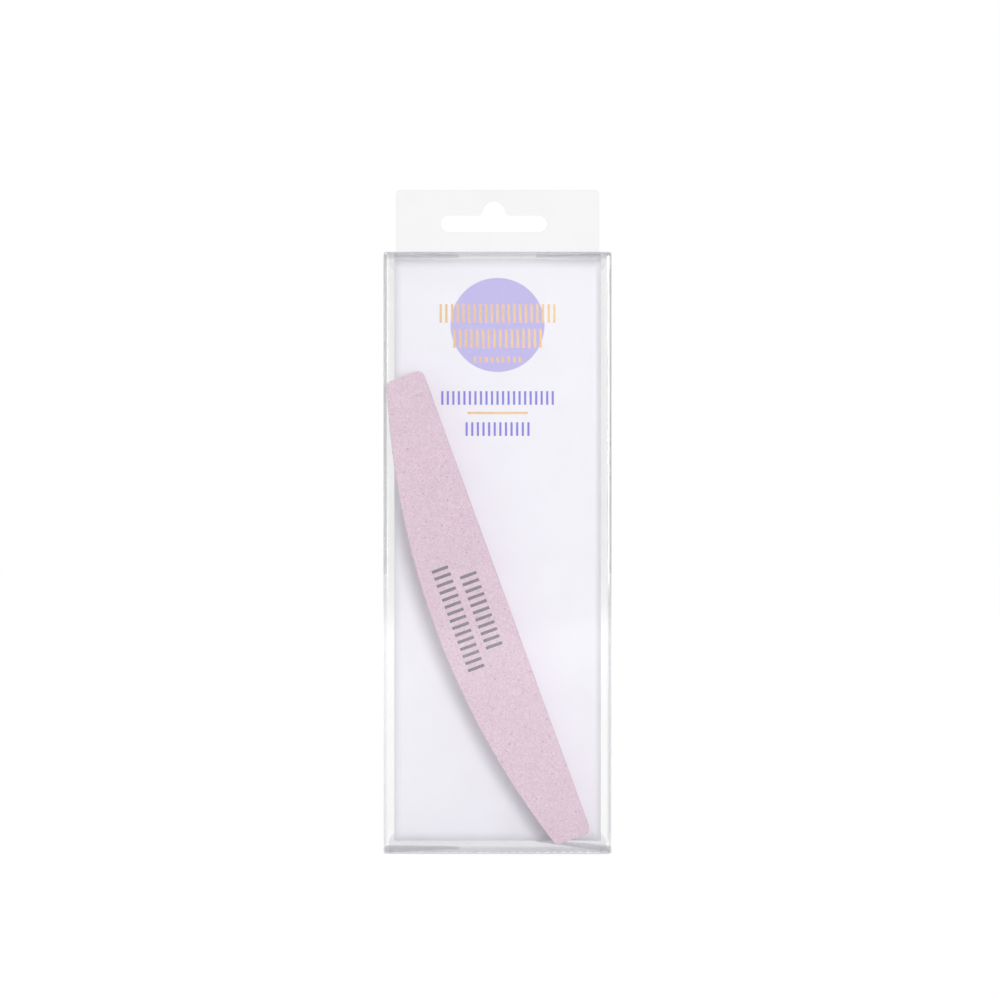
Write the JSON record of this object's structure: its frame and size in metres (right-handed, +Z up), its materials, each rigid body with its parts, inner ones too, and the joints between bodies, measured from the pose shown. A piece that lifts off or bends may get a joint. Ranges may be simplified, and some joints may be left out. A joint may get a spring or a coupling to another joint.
{
  "type": "nail buffer",
  "caption": "Half-moon sponge nail buffer leaning inside a clear tuck-end carton with a hang tab, a Euro slot and a printed insert card; both ends of the carton open.",
  "frame": {"origin": "middle of the carton's base, on the surface it stands on", "axes": "+Z up along the carton's height, -Y out of the clear front panel, +X to the right seen from the front"},
  "size_m": [0.082, 0.017, 0.2409],
  "materials": {
    "clear_sheet": "gloss",
    "card": "satin",
    "lilac_ink": "satin",
    "gold_foil": "satin",
    "violet_ink": "satin",
    "stiffener": "matte",
    "foam": "matte",
    "adhesive": "gloss",
    "abrasive": "matte",
    "grey_ink": "matte"
  },
  "bodies": {
    "carton": {"front_panel": "clear_sheet", "back_panel": "clear_sheet", "left_side_panel": "clear_sheet", "right_side_panel": "clear_sheet", "glue_flap": "clear_sheet", "hang_tab": "clear_sheet", "insert_card": "card", "card_emblem": "lilac_ink", "emblem_bars": "gold_foil", "card_rule": "gold_foil", "card_print": "violet_ink"},
    "upper_lid": {"top_lid": "clear_sheet"},
    "upper_tuck": {"top_tuck": "clear_sheet"},
    "upper_left_flap": {"top_dust_flap_left": "clear_sheet"},
    "upper_right_flap": {"top_dust_flap_right": "clear_sheet"},
    "lower_lid": {"bottom_lid": "clear_sheet"},
    "lower_tuck": {"bottom_tuck": "clear_sheet"},
    "lower_left_flap": {"bottom_dust_flap_left": "clear_sheet"},
    "lower_right_flap": {"bottom_dust_flap_right": "clear_sheet"},
    "buffer": {"buffer_core": "stiffener", "front_foam": "foam", "back_foam": "foam", "front_core_adhesive": "adhesive", "back_core_adhesive": "adhesive", "front_sheet_adhesive": "adhesive", "back_sheet_adhesive": "adhesive", "front_abrasive": "abrasive", "back_abrasive": "abrasive", "buffer_print": "grey_ink"}
  },
  "joints": [
    {"name": "top_lid_hinge", "type": "hinge", "parent": "carton", "child": "upper_lid", "pos_m": [0, -0.00805, 0.21645], "axis": [1, 0, 0], "range_deg": [0, 120]},
    {"name": "top_tuck_fold", "type": "hinge", "parent": "upper_lid", "child": "upper_tuck", "pos_m": [0, 0.0072, 0.216], "axis": [-1, 0, 0], "range_deg": [0, 60]},
    {"name": "top_left_flap_fold", "type": "hinge", "parent": "carton", "child": "upper_left_flap", "pos_m": [-0.04055, 0, 0.21595], "axis": [0, -1, 0], "range_deg": [0, 30]},
    {"name": "top_right_flap_fold", "type": "hinge", "parent": "carton", "child": "upper_right_flap", "pos_m": [0.04055, 0, 0.21595], "axis": [0, 1, 0], "range_deg": [0, 30]},
    {"name": "bottom_lid_hinge", "type": "hinge", "parent": "carton", "child": "lower_lid", "pos_m": [0, -0.00805, 0.00005], "axis": [-1, 0, 0], "range_deg": [0, 120]},
    {"name": "bottom_tuck_fold", "type": "hinge", "parent": "lower_lid", "child": "lower_tuck", "pos_m": [0, 0.0072, 0.0005], "axis": [1, 0, 0], "range_deg": [0, 60]},
    {"name": "bottom_left_flap_fold", "type": "hinge", "parent": "carton", "child": "lower_left_flap", "pos_m": [-0.04055, 0, 0.00055], "axis": [0, 1, 0], "range_deg": [0, 30]},
    {"name": "bottom_right_flap_fold", "type": "hinge", "parent": "carton", "child": "lower_right_flap", "pos_m": [0.04055, 0, 0.00055], "axis": [0, -1, 0], "range_deg": [0, 30]},
    {"name": "buffer_slide", "type": "slide", "parent": "carton", "child": "buffer", "axis": [0, 0, 1], "range_m": [0, 0.04]}
  ],
  "couplings": [
    {"joint": "top_tuck_fold", "follows": "top_lid_hinge", "ratio": 0.5},
    {"joint": "top_left_flap_fold", "follows": "top_lid_hinge", "ratio": 0.25},
    {"joint": "top_right_flap_fold", "follows": "top_lid_hinge", "ratio": 0.25},
    {"joint": "bottom_tuck_fold", "follows": "bottom_lid_hinge", "ratio": 0.5},
    {"joint": "bottom_left_flap_fold", "follows": "bottom_lid_hinge", "ratio": 0.25},
    {"joint": "bottom_right_flap_fold", "follows": "bottom_lid_hinge", "ratio": 0.25}
  ]
}
